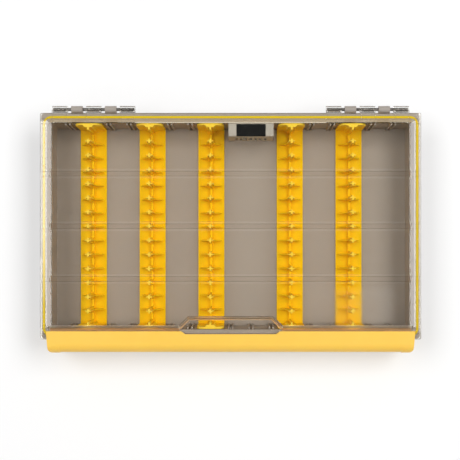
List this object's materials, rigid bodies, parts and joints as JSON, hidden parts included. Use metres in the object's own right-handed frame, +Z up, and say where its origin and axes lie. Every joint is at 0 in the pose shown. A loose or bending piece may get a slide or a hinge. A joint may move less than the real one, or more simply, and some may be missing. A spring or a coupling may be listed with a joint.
{
  "type": "jig box",
  "caption": "Flat fishing jig box with a clear hinged lid, a full-width front latch bar, a perimeter gasket, notched jig racks in wall slots and a moisture absorber.",
  "frame": {"origin": "middle of the box's outline in plan, on the face of the foot ring that it rests on", "axes": "+X to the right along the box's long side, +Y from the latch to the hinges, +Z up through the lid"},
  "size_m": [0.3542, 0.2302, 0.051],
  "materials": {
    "tray_plastic": "satin moulded plastic",
    "clear_plastic": "clear polished plastic",
    "gasket_rubber": "soft matte",
    "latch_plastic": "semi-gloss",
    "pin_steel": "drawn wire",
    "rack_plastic": "semi-gloss",
    "absorber_plastic": "satin",
    "absorber_felt": "pressed felt",
    "label_film": "satin film"
  },
  "bodies": {
    "tray": {"base_tray": "tray_plastic", "gasket": "gasket_rubber", "hinge_pin_left": "pin_steel", "hinge_pin_right": "pin_steel", "latch_pin_left": "pin_steel", "latch_pin_right": "pin_steel", "rack_1": "rack_plastic", "rack_2": "rack_plastic", "rack_3": "rack_plastic", "rack_4": "rack_plastic", "rack_5": "rack_plastic", "absorber_housing": "absorber_plastic", "absorber_cap": "absorber_plastic", "absorber_pad": "absorber_felt", "absorber_label": "label_film"},
    "lid": {"lid": "clear_plastic"},
    "latch": {"latch": "latch_plastic"}
  },
  "joints": [
    {"name": "lid_hinge", "type": "hinge", "parent": "tray", "child": "lid", "pos_m": [0, 0.1119, 0.0456], "axis": [-1, 0, 0], "range_deg": [0, 110]},
    {"name": "latch_hinge", "type": "hinge", "parent": "tray", "child": "latch", "pos_m": [0, -0.1069, 0.0076], "axis": [1, 0, 0], "range_deg": [0, 80]}
  ]
}
